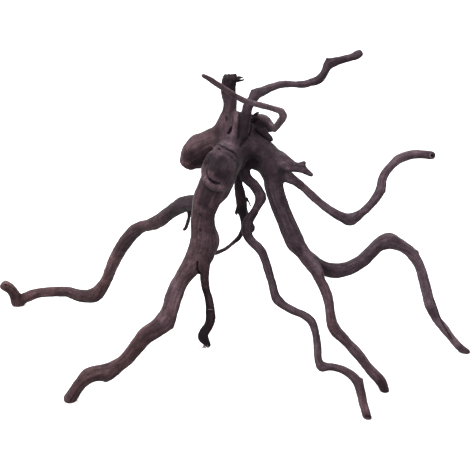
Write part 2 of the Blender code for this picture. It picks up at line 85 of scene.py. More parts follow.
# Big limbs and the crown that they grow from, as routes of (right, down, back, radius)
LIMBS = {
    "crown": [
        (226, 134, 4, 12), (233, 143, 1, 16), (241, 148, 3, 17.5), (250, 149, 6, 18),
        (259, 153.5, 6, 16.6), (268.9, 162, 3, 14.6), (273.3, 174, 0, 11.2),
    ],
    "top_stub": [
        (230.6, 76.2, 5, 6.9), (229, 81.9, 5, 7.4), (228, 90, 5, 7.9), (230.3, 102, 4, 7),
        (229.6, 112, 3, 7.6), (228.2, 122, 2, 11.1), (229, 133, 0, 13), (232, 146, -2, 17),
        (238, 158, 0, 17),
    ],
    "lobe": [
        (228, 137, 2, 13), (213.9, 143, 4, 14.4), (207.1, 147, 5, 15.4), (200.8, 150.7, 6, 16.8),
        (193.7, 155.7, 6, 13.8), (187.9, 163.1, 6, 9.4),
    ],
    "front_leg": [
        (232, 150, -8, 15), (224, 163, -22, 16.5), (218.4, 176.2, -30, 16.6), (211.1, 189.6, -33, 15),
        (206.2, 202, -34, 14.2), (203.8, 212.1, -34, 12.7), (202.7, 221, -34, 12.7),
        (204, 231, -34, 13.3), (205.1, 241, -36, 15.2), (201.2, 251.4, -38, 13.9),
        (193.3, 263.4, -42, 10.9), (184.6, 275.8, -47, 8.4), (177.4, 287.9, -52, 8.2),
        (172.5, 300, -57, 8.1), (169.2, 311, -61, 8), (164.7, 320.8, -65, 9.8), (156.5, 328.2, -68, 8.3),
        (147.2, 334.3, -70, 8.3), (140.2, 341.9, -72, 8), (133.5, 350.6, -74, 7.3),
        (125.7, 359.8, -77, 6.9), (116.7, 366.3, -79, 7.2), (107.2, 372, -80, 9.1), (98, 373, -81, 8.3),
        (89, 376, -82, 8.3), (81.1, 383.1, -82.5, 6.5), (75.4, 390.7, -82.5, 6.2),
        (69.4, 399.8, -82.5, 6.8),
    ],
    "left_limb": [
        (208, 203, -18, 8), (198, 202.5, -4, 8.1), (189, 203.2, 8, 8), (179.9, 206.2, 20, 7.9),
        (170.9, 211.8, 32, 6.6), (164, 217.1, 42, 6.8), (156.8, 221.7, 51, 6.8), (150, 224.7, 60, 5.7),
        (141.1, 227.1, 70, 5.6), (133.8, 231.8, 79, 6.4), (126.5, 240.9, 88, 6.7),
        (119.9, 250.2, 96, 6.2), (114.5, 260.3, 103, 6), (110.4, 270.2, 109, 5.7),
        (106, 280.1, 114, 5.4), (101.1, 288.1, 119, 6.5), (95.3, 294.2, 124, 7.8), (87, 295.9, 130, 6.8),
        (78, 295.1, 136, 5.9), (69.1, 292, 142, 5), (60, 291.3, 148, 4.9), (50, 291.8, 153, 4.7),
        (40, 292.8, 157, 4.4), (31, 295.4, 159, 5.2), (23, 298.8, 162, 5), (17.7, 302.8, 162.5, 6.2),
        (14.9, 295.2, 160, 5.1), (10.3, 288.7, 156, 4.8), (4.1, 284.8, 152, 5),
    ],
    "right_leg": [
        (254, 151, 8, 15), (262.6, 155.9, 4, 15.7), (269.7, 162.9, 1, 14.7), (273.4, 174, 0, 11.3),
        (273.6, 183, -3, 10), (275, 192, -6, 9.4), (278.2, 202, -9, 8.9), (282, 212.1, -12, 8.9),
        (286.3, 222.2, -15, 8.7), (291.1, 233, -18, 9.4), (295.8, 243.2, -21, 9.3),
        (302.6, 252, -24, 6.9), (309.2, 261.1, -27, 6.7), (315.6, 269.7, -30, 6.1), (320, 279.9, -33, 5),
        (325.4, 289.9, -36, 4.9), (328.5, 299.9, -39, 4.8), (330.3, 310.9, -42, 4.6),
        (331.8, 321.3, -44, 5.5), (335, 329.9, -46, 6.2), (342.5, 337.9, -48, 5.5),
        (351.2, 346.8, -50, 4.8), (359.1, 355.9, -52, 5.3), (366.6, 365.7, -54.5, 5.1),
        (374.7, 374.5, -56.5, 5.6), (381.1, 382, -58, 5.6), (385.4, 391.4, -62, 4.2),
    ],
    "right_limb": [
        (270, 163, 2, 9), (280, 170, 2, 8), (288, 177, 2, 6), (295.9, 181.8, 3, 4.2),
        (303.3, 187.6, 5, 3.7), (309.3, 193.1, 7, 3.6), (315.9, 199.6, 9, 3.8), (323.1, 205.2, 11, 3.9),
        (330.1, 210.2, 13, 4), (336.9, 214.5, 14, 4.6), (344.1, 217.7, 15, 5.1), (350, 219.4, 16, 6.4),
        (355.9, 217, 18, 5.2), (362, 212.7, 20, 4.1), (368.3, 207.1, 22, 4.1), (373.9, 200.6, 25, 4.6),
        (378.6, 193.7, 28, 4.8), (381.2, 187.1, 31, 5), (382.2, 179.9, 34, 4.4), (385.3, 173.2, 37, 4.5),
        (390.5, 166.5, 41, 4.3), (396.7, 160.3, 45, 4.6), (404.1, 156.7, 48, 4.8), (412, 154.7, 50, 4.9),
        (421, 154.3, 51, 4.5), (430, 155.2, 52, 4.6), (432.8, 155.6, 52, 4.5),
    ],
    "hump_limb": [
        (292.9, 238.1, -19, 8.3), (300.2, 247.8, -12, 6.6), (308.9, 257.5, -4, 6.4),
        (317.8, 265.1, 3, 6.5), (328, 269.9, 9, 7.4), (337, 270.7, 13, 7.4), (346.1, 269.2, 17, 6.9),
        (355.1, 265.2, 20, 6.8), (363.2, 260, 23, 6.9), (369.9, 252.9, 26, 6.8), (377.9, 245.6, 29, 7.1),
        (388.6, 240.8, 32, 8.8), (396.7, 243.5, 34, 7.2), (404.2, 247.3, 36, 5.9),
        (411.5, 252.7, 37, 5.8), (416.6, 260.8, 38, 5.1), (420.6, 268.7, 38.5, 5.3),
        (423.6, 279, 39, 4.9), (426.6, 290.9, 39, 5.2), (429.2, 301.9, 38.5, 5.2),
        (433.4, 311.4, 38, 5.2), (437.5, 320.1, 37, 4.3), (443.2, 326.8, 36, 4.2),
        (448.9, 334.9, 35, 3.9), (455.4, 343, 34.5, 3.8), (461.2, 348.3, 33.5, 3.6),
        (467.4, 353, 31.5, 3.6),
    ],
    "middle_leg": [
        (244, 158, 2, 10), (244, 169, -2, 6.5), (246.9, 178, -4, 5.7), (253.3, 184.5, -8, 5.5),
        (258.1, 191.5, -12, 5.6), (260.6, 198, -16, 6), (257.7, 205.2, -20, 4.3),
        (253.4, 213.1, -24, 4.2), (248.9, 220, -27, 4.8), (246.9, 228, -30, 5.2),
        (248.1, 235.9, -33, 4.7), (252.1, 241.9, -36, 4.4), (258, 247, -39, 4.5), (262.6, 253, -42, 4.3),
        (265.8, 262, -46, 4.1), (268.7, 272, -51, 4.2), (272.1, 283, -56, 4), (274.2, 292, -61, 4.1),
        (276.6, 298.6, -65, 4.8), (282.9, 304.5, -69, 4.2), (290.7, 309.5, -73, 3.7),
        (299.7, 313.3, -77, 3.8), (306.6, 316.8, -81, 4.5), (311.8, 322.2, -84, 4.5),
        (314.9, 331, -88, 3.8), (316.7, 340, -92, 3.6), (317.5, 351, -96, 4.1),
        (318.7, 361.1, -100, 4.3), (321.3, 366.4, -102, 5.6), (330, 366.8, -104, 4),
        (337.9, 368.3, -106, 4.1), (347.4, 372.3, -108, 4.6), (355.3, 378.7, -111, 5.2),
        (358.8, 384.5, -113, 5.1), (361.2, 392.9, -114.5, 4.7), (363.2, 402, -116, 4.6),
        (365.8, 411.1, -117.5, 4.7), (368, 419, -121.5, 4.6),
    ],
    "upper_limb": [
        (237, 158, -8, 7), (239, 147, -8, 5), (242, 137, -8, 4.8), (244.6, 125, -8.5, 5.7),
        (246.4, 115, -8.5, 5.5), (247.7, 106.8, -7, 5.1), (252.9, 98.9, -4, 5), (255.3, 94.5, 1, 6.1),
        (260.4, 92.2, 8, 5.2), (269.6, 88.4, 18, 4.2), (280, 84.9, 28, 3.8), (290, 84.2, 36, 3.3),
        (300, 84.6, 43, 3.6), (310.1, 82.8, 50, 3.8), (318.6, 79.6, 56, 4.3), (323.1, 74.8, 59, 3.9),
        (325.8, 69.3, 61, 4.1), (328.8, 63.8, 63, 5.2), (334, 62.1, 66, 4.6), (340, 60.3, 69, 4),
        (349.9, 57.5, 74, 3.6), (356.1, 55.3, 77, 4.2), (360.6, 52.6, 78.8, 3.7),
    ],
    "twig": [
        (262, 123, 16, 6.6), (268, 126, 13, 3.6), (273.8, 129.2, 9, 3.5), (275.6, 127.6, 6, 3.6),
        (282.4, 118.4, -7, 3.9), (283.4, 116.2, -9, 3.9), (280.9, 111.4, -15, 3.8),
        (279.3, 110.4, -17, 3.5), (270.1, 107.5, -24, 2.8), (257, 104.3, -34, 3.1),
        (251, 102.6, -38, 2.6), (244.9, 100.5, -42, 3), (237, 96.8, -47, 2.9), (230, 92.5, -51, 2.8),
        (219.4, 85.7, -56, 2.8), (210, 79.3, -60, 2.8), (202.6, 75.3, -62, 2.3),
    ],
    "short_leg": [
        (202.4, 251, -41, 4), (203.2, 257, -45.4, 5), (204.5, 264, -45.6, 5.6), (204.8, 271, -43.6, 5),
        (204.8, 280, -41, 4.7), (206.4, 290, -43, 4.1), (209.1, 298.9, -46, 4.2), (210.3, 309, -48, 4.7),
        (210.8, 317.6, -50, 4.9), (208.9, 325.1, -51, 4.4), (204.7, 332, -52, 4.8),
        (203.1, 337.4, -53, 5.2), (206.5, 342.6, -53.6, 3.8), (208.6, 346, -54, 2.8),
    ],
    "rear_root": [
        (243, 162, 3, 8), (240.6, 173, 2, 4.4), (238.6, 184, 2, 3.8), (239.9, 192, 3, 5.1),
        (241.5, 200, 4, 5.1), (242.2, 208, 5, 5.1), (244.1, 216, 6, 4.3), (244.4, 224, 6, 3.5),
        (242.1, 231, 5, 2.3), (239.2, 237.4, 2, 2.6), (233.8, 242.3, -6, 2.1), (226.5, 248.1, -16, 1.9),
        (219, 252, -24, 1.7), (211, 254.5, -31, 2),
    ],
}

# Short growths as routes: knuckles, broken stubs, the ring round the old branch scar and rootlets
GROWTHS = {
    "crown_bulge": [
        (237.8, 110.6, -3, 2.6), (237.2, 114, -4, 4.2), (236, 118, -6, 4.8), (235, 127, -8, 5.6),
        (234, 137, -9.5, 6.8), (233, 146, -11, 8),
    ],
    "scar_face": [(227, 160, -28.5, 9), (223.5, 168, -33, 11.3), (221, 175, -36.5, 9.6)],
    "leg_web": [(228, 170, -22, 9), (225, 180, -26, 9.3), (221.4, 189.6, -29, 9), (216, 198, -31, 7.6)],
    "scar_ring": [
        (218, 152, -26, 4), (212, 154.5, -27, 3.6), (207.2, 161, -31, 3.3), (204.4, 169, -33, 3.3),
        (204.8, 176, -39, 3.3), (208, 182.6, -46, 3), (213.6, 187, -49, 3), (221, 188, -47, 3),
        (229, 185, -37, 3.4),
    ],
    "old_stub": [
        (246, 134, 8, 11), (252, 127.4, 12, 10.2), (257.4, 123.6, 15, 9.9), (263.4, 122.8, 17, 8.7),
        (268.8, 126, 17, 6.3), (273, 127.6, 13, 4.4),
    ],
    "bark_flap": [
        (252, 126, 7, 5), (258, 129, 7, 4.8), (263, 132.4, 6, 4.2), (267.6, 136, 3, 3.3),
        (271, 139.4, -1, 2.8), (272.6, 140.8, -2, 1.6),
    ],
    "shoulder": [(270, 156, 4, 9.5), (279, 159, 2, 8.2), (287, 163.5, 0, 6.3), (296, 166, -3, 3.4)],
    "horned_stub": [
        (268, 160, 0, 10), (276, 161, -3, 9.6), (285, 162.7, -5, 7.5), (292, 166.2, -6, 6),
        (298, 168, -7, 5), (303, 169.4, -8, 4.3), (308.4, 172.8, -9, 2.9), (312.2, 175, -10, 1.9),
    ],
    "horn": [(299.6, 166.6, -7.5, 4.2), (302.8, 164.2, -8, 3.5), (304.2, 161.8, -8, 2.4)],
    "front_knee": [(165.5, 321, -65, 8), (169.6, 324.6, -66, 4.6), (173, 327.6, -66.5, 2)],
    "left_elbow": [(96.4, 292.6, 122.6, 6.4), (99.6, 294, 120.6, 5.2), (101.8, 295.4, 119.4, 4)],
    "lobe_keel": [(189.4, 162.4, 5, 7.4), (197, 161.8, 4, 7.2), (204, 161, 0, 7), (210, 160, -4, 7)],
    "lobe_flare": [(224, 122, 2, 7), (219.6, 128, 2, 5.8), (213.6, 133.4, 3, 6), (206, 138, 4, 6)],
    "lobe_tip": [(190, 159, 6, 9), (186, 162.6, 5, 6.2), (184.6, 164.6, 4.4, 4.4)],
    "front_heel": [(104, 372, -81, 6.4), (105.6, 377.6, -81.5, 4.8), (106.2, 380.6, -82, 2.8)],
    "front_toe_bend": [(89, 377, -83, 6.4), (85.6, 373, -82.5, 3.6), (84.4, 371.4, -82, 2)],
    "fork_flap": [
        (206, 246, -38, 10), (209.6, 254, -42, 6), (210.2, 259, -43, 3.4), (209.4, 262.6, -43, 1.8),
    ],
    "hump_peak": [(388, 240, 32, 6.4), (388.6, 236, 32, 3.6), (388.8, 234, 32, 2)],
    "hump_shoulder": [(410.6, 254, 37, 5.8), (415, 252.6, 37, 4), (418, 251.8, 37, 2.2)],
    "right_nub": [(380, 189.6, 30, 3.6), (384.6, 191.2, 30, 1.9)],
    "upper_nub": [(328.5, 64, 63, 3.2), (327.4, 60.4, 62.6, 2.2), (327, 58.2, 62.3, 1.3)],
    "upper_elbow": [(254.4, 94.2, 1.5, 4.6), (252.6, 91.4, 0.5, 2.9), (251.6, 90.2, 0, 1.8)],
    "upper_tip": [(358, 54, 78, 3.8), (361.4, 53.2, 79.4, 2.6), (362.6, 53.2, 79.8, 1.6)],
    "middle_knot": [(247.6, 228, -29, 4.4), (253, 228, -28, 4.2)],
    "middle_elbow": [(321, 365.4, -101.6, 3.4), (320.3, 368.4, -101.4, 2.4), (320.1, 370, -101.2, 1.6)],
    "middle_heel": [(359, 383.6, -113, 4), (361.4, 379.8, -112.6, 2.6), (362.6, 378.4, -112.5, 1.6)],
    "rootlet": [
        (192, 203, 4, 4), (190.4, 209, 5.4, 2.4), (189.2, 215, 6, 1.9), (187.9, 222, 7, 1.8),
        (185.4, 228, 8, 1.8), (183.2, 230, 8.5, 1.6),
    ],
    "rear_nub": [(242, 198, 4, 4), (247.8, 199.6, 4, 1.6)],
    "bark_barb": [(240.4, 207, 5, 4.4), (236.8, 211, 4.4, 1.8), (235.6, 213.6, 4.2, 1)],
}

# The growths whose own grain shows, as a limb's does
BROAD_GROWTHS = (
    "crown_bulge", "lobe_flare", "scar_face", "leg_web", "old_stub", "shoulder", "horned_stub",
)
ROUTES = {**LIMBS, **GROWTHS}

# Hollows sunk into the crown: the rotted heart of the old stub, the pit between the legs, the groove inside
# the ring and the flat of the scar. Each has its depth, how dark it is painted, how many times its radius
# the dark reaches, and its route. The dark is painted shade, as falls in a hollow; in the stub's heart it
# also stands for rot
HOLLOWS = {
    "stub_heart": (6, 0.8, 1.7, [
        (251.6, 115.6, 3, 3), (254.6, 121, 6, 5), (258, 127.4, 9, 5.4), (263, 132, 9, 3.4),
    ]),
    "leg_pit": (4.2, 0.5, 1.9, [(243, 160, -11, 9), (249, 162, -9, 11.5), (257, 161.5, -8, 9)]),
    "ring_groove": (1.6, 0.5, 1.1, [(210, 180, -46, 1.6), (213, 182.6, -47.6, 1.9), (218, 183.8, -49, 1.6)]),
    "scar_flat": (2.4, 0.28, 1.4, [(223, 160, -40, 9), (221, 168, -46, 11), (220, 175, -48, 10)]),
}

# From here to OPEN_ENDS, marks lie on the side that the view sees: a course of (right, down, radius) is laid
# on the skin. Cracks have their depth, how dark they are painted and their course. The dark is painted shade
# in the crack; upper_limb_side, light_column_side and flap_slit are painted shadow lines where one part
# meets another, and the mouths are painted shade inside hollow ends
CRACKS = {
    "crown_crack": (1.1, 0.9, [
        (217.4, 144.6, 0.9), (220, 145, 1.1), (222.4, 147, 1.1), (225, 147.6, 0.9), (227.6, 149.4, 1),
        (230, 150.6, 0.9), (232.6, 151.8, 1.1), (234.6, 153, 1.1), (235.8, 155, 1.1),
        (236.8, 157.6, 0.9),
    ]),
    "crown_pit": (1.6, 1, [(218.8, 148.6, 1.5), (219.8, 149.4, 1.4)]),
    "stub_pit": (2.4, 1, [(231.2, 127.6, 1.2), (230.4, 130, 2), (229.4, 132.2, 1.8), (228, 133.4, 1.2)]),
    "stub_eye": (1.0, 0.7, [(226.4, 117.8, 1.5), (226.8, 120.4, 1.3)]),
    "stub_line": (0.6, 0.35, [(232.4, 117, 1), (233, 122, 1.2), (232.4, 126, 1)]),
    "upper_limb_side": (1.1, 0.5, [
        (251, 120, 1.8), (250.6, 128, 2.4), (247.6, 136, 2.8), (243, 142.6, 2.8), (240.4, 146, 2),
    ]),
    "light_column_side": (1.0, 0.55, [
        (239.6, 112, 1.2), (239.8, 120, 1.5), (239, 130, 1.7), (238.4, 138, 1.5),
    ]),
    "ring_slot": (2.2, 1, [
        (209.4, 179, 0.9), (211.4, 180.8, 1.3), (214.4, 182.6, 1.5), (217, 183.2, 1.2),
        (220, 183.6, 0.8),
    ]),
    "ring_seam": (1.0, 0.6, [
        (209.6, 161, 0.8), (208.2, 165, 0.9), (207, 170, 1), (207.2, 175, 1), (208.6, 178, 0.9),
    ]),
    "leg_pit_high": (0.8, 0.6, [(200, 214, 1.2), (200.6, 215.6, 1.2)]),
    "leg_pit_low": (0.8, 0.6, [(200, 229.4, 1.3), (200.2, 230.8, 1.2)]),
    "fork_slit": (2.0, 1, [
        (197.6, 262, 0.9), (197.4, 266, 1.3), (197.8, 270, 1.6), (199.6, 273.4, 1.8),
    ]),
    "hump_groove": (1.4, 0.85, [
        (434, 300, 1), (436, 305, 1.4), (438.2, 311, 1.6), (440.4, 318, 1.6), (443.6, 325, 1.5),
        (447.6, 332, 1.2), (452, 339, 1),
    ]),
    "right_limb_mouth": (2.4, 1, [(430.4, 155, 1.3), (431.6, 155.4, 1.8), (432.8, 156, 1.8)]),
    "middle_leg_mouth": (1.2, 0.85, [(366, 416.4, 1.4), (368.4, 417, 1.7), (370, 416.4, 1.4)]),
    "left_limb_mouth": (1.4, 0.8, [(5.4, 285, 1.6), (6, 285.6, 1.6)]),
    "flap_slit": (1.6, 0.95, [
        (256, 130.6, 0.9), (259, 133.6, 1.2), (263, 136.6, 1.3), (267, 139.4, 1.3), (271, 141.8, 1),
    ]),
}
# Low ridges beside cracks: their height and their course
RIMS = {
    "crown_rim": (0.8, [(223, 151, 1.5), (228, 152.6, 1.6), (232, 155.4, 1.5), (234, 158, 1.3)]),
    "crown_ridge": (0.8, [(213, 146.4, 1.6), (216, 150, 1.8), (214, 154, 1.6)]),
    "fork_edge": (0.4, [(199, 251.4, 1.3), (204, 250.6, 1.6), (208.4, 254.6, 1.6), (210.6, 260, 1.4)]),
}
# Patches of rough bark: the height of their grain and their course
ROUGH = {
    "crown_bark": (0.9, [(221, 146, 7), (228, 145, 8), (234, 150, 7), (232, 158, 5)]),
    "knob_bark": (0.7, [(254, 116, 4), (259, 119, 5)]),
    "flap_bark": (0.8, [(266, 134, 4), (271, 139, 4)]),
}
# Spans of a route, from one of its points up to another, each with its level. These are painted darker:
# painted shade where a limb lies behind or under others, as on the short leg, the rear root, the rootlet,
# the foot of the upper limb, the bark flap and the top of the middle leg, and a darker tone elsewhere
DARKENED_SPANS = [
    ("short_leg", 1, 6, 0.3), ("short_leg", 5, None, 1), ("rear_root", 1, 6, 0.45),
    ("rear_root", 5, 11, 0.85), ("rear_root", 11, None, 0.25), ("rootlet", 0, None, 0.6),
    ("upper_limb", 1, 5, 0.75), ("upper_limb", 4, 8, 0.4), ("upper_limb", 13, 19, 0.32),
    ("upper_limb", 19, None, 0.28), ("bark_flap", 0, None, 0.7), ("bark_barb", 0, None, 0.6),
    ("middle_leg", 1, 7, 0.35), ("middle_leg", 7, 11, 0.7), ("middle_leg", 13, 20, 0.5),
    ("middle_leg", 19, 31, 0.36), ("middle_leg", 31, 35, 0.36), ("middle_knot", 0, None, 0.85),
    ("right_leg", 3, 10, 0.3), ("right_leg", 22, 25, 0.1), ("right_leg", 25, None, 0.6),
    ("left_limb", 0, 5, 0.75), ("left_limb", 8, 12, 0.36), ("left_limb", 16, 21, 0.5),
    ("front_leg", 21, 26, 0.35), ("front_leg", 26, None, 0.3), ("twig", 15, None, 0.3),
    ("hump_limb", 2, 5, 0.25), ("hump_limb", 6, 11, 0.25), ("hump_limb", 25, None, 0.35),
    ("right_limb", 24, None, 0.3),
]
# These are painted paler: painted highlight along the lit upper side of the hump limb and the twig, and a
# paler tone elsewhere
LIGHTENED_SPANS = [
    ("hump_limb", 12, 20, 0.6), ("hump_limb", 21, 25, 0.8),
    ("right_limb", 0, 3, 0.6), ("right_limb", 4, 9, 0.5),
    ("right_limb", 17, 25, 0.25), ("right_leg", 13, 15, 0.1),
    ("right_leg", 15, 19, 0.15), ("twig", 3, 13, 0.75), ("twig", 13, None, 0.2),
    ("upper_limb", 9, 14, 0.35), ("left_limb", 11, 15, 0.55),
]
# These are more violet than the wood round them or, below 0, browner
VIOLET = [
    ("left_limb", 0, 8, 0.12), ("left_limb", 8, 21, 0.6), ("left_limb", 20, None, 0.45),
    ("front_leg", 12, 16, 0.3), ("middle_leg", 13, 31, 0.45), ("upper_limb", 0, None, 0.4),
    ("hump_limb", 11, None, 0.25), ("crown", 3, None, 0.6), ("right_leg", 0, 4, 0.5),
    ("twig", 0, None, 0.2), ("front_leg", 4, 10, -0.3), ("hump_limb", 1, 3, -0.35),
    ("right_leg", 10, 13, -0.3), ("lobe", 1, 5, -0.35), ("short_leg", 0, None, -0.3),
]
DARK_TIPS = ("right_leg", "middle_leg", "hump_limb", "short_leg")
# Patches painted darker, each with how dark it is and its course: mostly painted shade, on the undersides
# and hidden sides of the lobe, the scar and the thighs, in the knob's hollow, under the bark flap, where the
# hump limb passes behind the right leg and where limbs meet
DARKENED_PATCHES = {
    "under_flap": (0.25, [(202, 258, 4), (203.6, 262, 5), (204.4, 268, 5), (205, 274, 4.4)]),
    "knob_heart": (0.8, [(254.6, 118, 4.4), (258, 122, 5.4), (261.6, 126, 5), (265, 128.8, 4.4)]),
    "crown_right": (0.3, [(256, 142, 9), (262, 156, 11), (266, 170, 10)]),
    "crown_saddle": (0.62, [(268, 154, 7), (263, 164, 8)]),
    "hump_root": (0.6, [(315, 257, 3.4), (320.6, 264.4, 4.6), (326.4, 272, 4.6)]),
    "thigh_shade": (0.4, [(287, 236, 5), (293, 245, 5), (300, 254, 4)]),
    "leg_crotch": (0.3, [(246, 152, 7), (248, 163, 9)]),
    "leg_root": (0.5, [(238, 176, 5), (243, 168, 8), (250, 172, 6)]),
    "lobe_side": (0.68, [(209, 152, 8), (198, 154, 9), (187, 156.6, 8)]),
    "stub_face": (0.14, [(229, 106, 7), (228, 116, 8), (228, 126, 9)]),
    "lobe_under": (0.78, [(195, 163, 6), (202, 161, 8), (207.6, 157, 8)]),
    "scar_heart": (0.75, [(222, 163, 11), (222, 172, 12)]),
    "scar_left": (0.85, [(213.6, 160, 6), (212, 168, 6)]),
    "thigh_left": (0.62, [(207, 192, 8), (203, 203, 8)]),
    "calf": (0.22, [(206, 236, 9), (205, 244, 9)]),
    "shin": (0.3, [(158, 328, 9), (140, 342, 9), (126, 358, 8), (110, 370, 8), (94, 374, 8)]),
    "middle_bend": (0.25, [(268, 272, 5), (273, 286, 5)]),
    "lobe_back": (0.3, [(213, 141, 5), (205, 143, 5)]),
    "right_toe": (0.8, [(380, 382, 4), (385, 390, 4.4)]),
}
# Patches painted paler, each with how pale it is and its course: mostly painted highlight on tops and faces
# that catch the lamp, such as the knob's top, the shoulder's top, the light column and the front thigh
LIGHTENED_PATCHES = {
    "front_thigh": (0.55, [(177.6, 295, 5.4), (176, 301, 7), (174, 308, 7), (172.8, 313.4, 4.4)]),
    "light_column": (0.2, [(236.4, 113, 2.6), (235.6, 124, 3), (234, 138, 4.4), (228, 145, 5)]),
    "knob_top": (0.95, [(262, 116, 5), (267, 118.4, 5.4), (271, 123.4, 4)]),
    "crown_middle": (0.4, [(225, 142.6, 5), (230, 145, 6), (234.6, 149, 4.4)]),
    "scar_brow": (0.3, [(221, 156, 4), (227, 157, 4)]),
    "shoulder_top": (0.45, [(281, 164, 5), (287.4, 167.6, 4.4)]),
    "thigh_right": (0.35, [(223, 190, 5), (221, 199, 5)]),
    "front_knee": (0.3, [(190, 282, 5), (183, 290, 5)]),
    "left_hand": (0.4, [(7, 283, 4), (12, 287, 4)]),
    "last_shin": (0.22, [(318, 345, 5), (319, 358, 5)]),
    "last_toe": (0.4, [(362, 398, 5), (366, 409, 5)]),
    "right_thigh": (0.4, [(304, 248, 4.4), (312, 260, 4.6), (319.6, 272, 4)]),
}
# Limbs with a hollow end, each with the hollow's radius and depth
OPEN_ENDS = {"upper_limb": (2.6, 0.4)}

# Torn fibres as routes of (right, down, back, radius)
FIBRES = [
    [(236, 79, 6, 1.6), (238.5, 78.4, 6, 1.2), (241, 77.6, 5, 0.8), (243, 77.4, 5, 0.3)],
    [(236, 81, 4, 1.5), (239.5, 80.6, 3, 1.1), (242.5, 80.2, 3, 0.8), (244.4, 79.4, 3, 0.4)],
    [(235, 79.6, 2, 1.4), (238, 79.2, 1, 0.9), (240.4, 80.4, 0, 0.3)],
    [(233, 80.6, 6, 1.0), (237, 77.6, 8, 1.0), (239.4, 76.8, 8, 0.6), (241.4, 77, 8, 0.2)],
    [(253, 122, 12, 1.6), (252.4, 117.4, 12, 1.6), (254.6, 115.4, 12, 1.5), (257, 113.2, 12, 1.1),
     (259.2, 112.6, 12, 0.5)],
    [(252, 122, 12, 1.4), (251.2, 118, 12, 1.4), (252.4, 116, 12, 0.9), (252.2, 114.4, 12, 0.4)],
    [(246.6, 199.6, 4, 0.9), (248.6, 201.4, 4, 0.6), (249.6, 204, 4, 0.4), (251.2, 206.8, 4, 0.2)],
    [(237.4, 211, 4, 1.1), (236, 213.4, 4, 0.7), (236.8, 215, 4, 0.3)],
]
# The rim at the end of the right limb: a place on its route, its radius and the way it looks
RIM_PLACE = (432.2, 155.7, 48.6, 0)
RIM_RADIUS = 2.7
RIM_FACING = (0.5, -0.8, 0.25)
# Spikes on the broken top of the stub, and how deep each starts
CROWN_SPIKES = 40
SPIKE_ROOT = 3.0
# Real lint is 0.02 mm thick and too fine to show, so it is drawn coarser
LINT_RADIUS = 0.25
LINT_THREADS = 12
# Where the loose threads end, where they are held, and one that lies across the short leg
THREADS_END = (204.4, 346.4, -57, 1)
THREADS_HOLD = (206.8, 343.4, -54.2, 1)
STRAY_THREAD = [
    (208.2, 309.6, -52, 0.05), (209.6, 309.3, -53.2, 0.09), (211.4, 309.6, -53.4, 0.09),
    (212.6, 310, -52.8, 0.05),
]

# Rot of the stub: how far down it goes, how far its edge fades and wanders, how wide the stub is,
# how dark it is, and the height and size of its crumbs
STUB_ROT = 17.0
ROT_FADE = 3.0
ROT_WANDER = 2.5
STUB_REACH = 12.0
ROT_DARK = 0.85
ROT_HEIGHT = 0.8
ROT_SIZE = 3.2
BARK_SIZE = 2.8
# How dark a limb's hollow end is painted, as painted shade inside it, how dark a dark tip is, and how many
# radii the dark reaches
MOUTH_DARK = 0.9
TIP_DARK = 0.6
TIP_REACH = 2.2
CRACK_REACH = 1.25
# Patches, hollow ends and spans of a route are even in their middle: the gain that makes them so,
# and how many radii a span reaches
PATCH_FILL = 1.6
MOUTH_FILL = 2.0
SPAN_FILL = 2.2
SPAN_REACH = 1.6
# The wood turns from brown to violet at this height, over that much height and width
WARM_HEIGHT = 120.0
WARM_FALL = 130.0
WARM_ACROSS = 200.0
WARM_LEAST = -0.3
# How proud each place is, which sets the painted shade in furrows and the painted highlight on ridges: the
# rounds that the surface is eased by, and how far a full ridge stands out of that
PROUD_ROUNDS = 14
PROUD_DEPTH = 1.2

# Wood, in sRGB
BROWN_DARK = "#2F1F21"
BROWN_MIDDLE = "#4B3538"
BROWN_LIGHT = "#695053"
VIOLET_DARK = "#2B2027"
VIOLET_MIDDLE = "#44353D"
VIOLET_LIGHT = "#62505A"
# Near black: the colour of rot, and of the painted shade in hollows, cracks and under and behind parts
ROT_AND_SHADE = "#1B1019"
LINT = "#8A807C"
FLOOR_WHITE = "#FFFFFF"

# Half the floor's side, the light that it gives off, which keeps it white, and the light all round
FLOOR_REACH = 9000.0
FLOOR_GLOW = 0.55
SKY_LIGHT = 0.4
# Lamps: strength, spread in degrees and the way each shines
LAMPS = (
    ("wide_softbox", 3.0, 65, (0.5, 0.38, -1)),
    ("rear_softbox", 1.3, 50, (-0.1, -0.75, -1)),
)


def standing(route):
    """The route's points as (x, y, z, radius): a point lies on the line of sight through its
    place in the view window, at its own distance back, and its offsets and radius grow with that
    distance from the eye."""
    right, down, back, radius = np.array(route, float).T
    across = right - VIEW_SIDE / 2
    up = VIEW_SIDE / 2 - down
    sine = math.sin(VIEW_TILT)
    cosine = math.cos(VIEW_TILT)
    beyond = (back - up * sine) / (cosine + up * sine / VIEW_DISTANCE)
    growth = 1 + beyond / VIEW_DISTANCE
    height = AIM[2] + up * growth * cosine - beyond * sine
    thickness = radius * growth + SKIN_ALLOWANCE
    return np.column_stack([AIM[0] + across * growth, AIM[1] + back, height, thickness])


